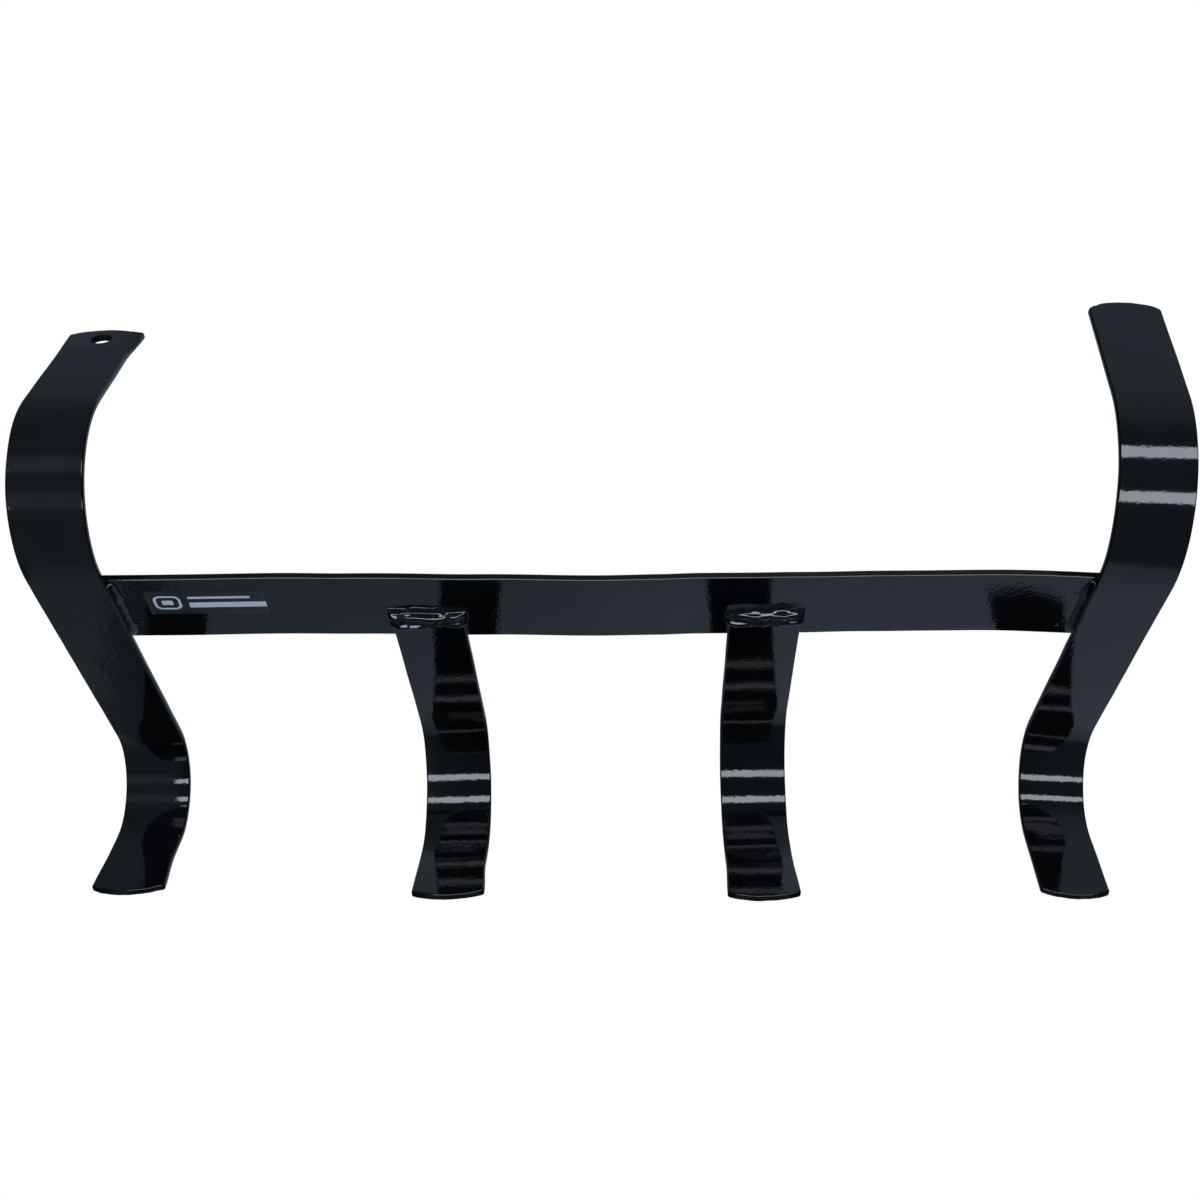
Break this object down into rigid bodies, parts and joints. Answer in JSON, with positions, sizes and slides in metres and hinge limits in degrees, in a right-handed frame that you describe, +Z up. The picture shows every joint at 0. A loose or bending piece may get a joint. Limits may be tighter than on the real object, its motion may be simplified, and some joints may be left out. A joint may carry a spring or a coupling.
{
  "type": "saddle rack",
  "caption": "Black steel tack rack: two bent arms go over a stable partition, a flat crossbar joins them, and upturned hooks along the bottom hold tack.",
  "frame": {"origin": "centre of the crossbar's flat back face, where the rack lies against the partition", "axes": "+Z up as the rack hangs, +X along the crossbar, +Y into the partition, so the hooks open towards -Y"},
  "size_m": [0.4573, 0.2077, 0.2006],
  "materials": {
    "coated_steel": "gloss black powder coat over steel flat bar",
    "coated_weld": "gloss black powder coat over lumpy weld beads",
    "label_film": null
  },
  "bodies": {
    "root": {"left_arm": "coated_steel", "right_arm": "coated_steel", "crossbar": "coated_steel", "left_hook": "coated_steel", "right_hook": "coated_steel", "left_hook_bead": "coated_weld", "right_hook_bead": "coated_weld", "left_hook_root_weld": "coated_weld", "right_hook_root_weld": "coated_weld", "left_arm_weld": "coated_weld", "right_arm_weld": "coated_weld", "left_end_weld": "coated_weld", "right_end_weld": "coated_weld", "label": "label_film"}
  },
  "joints": []
}
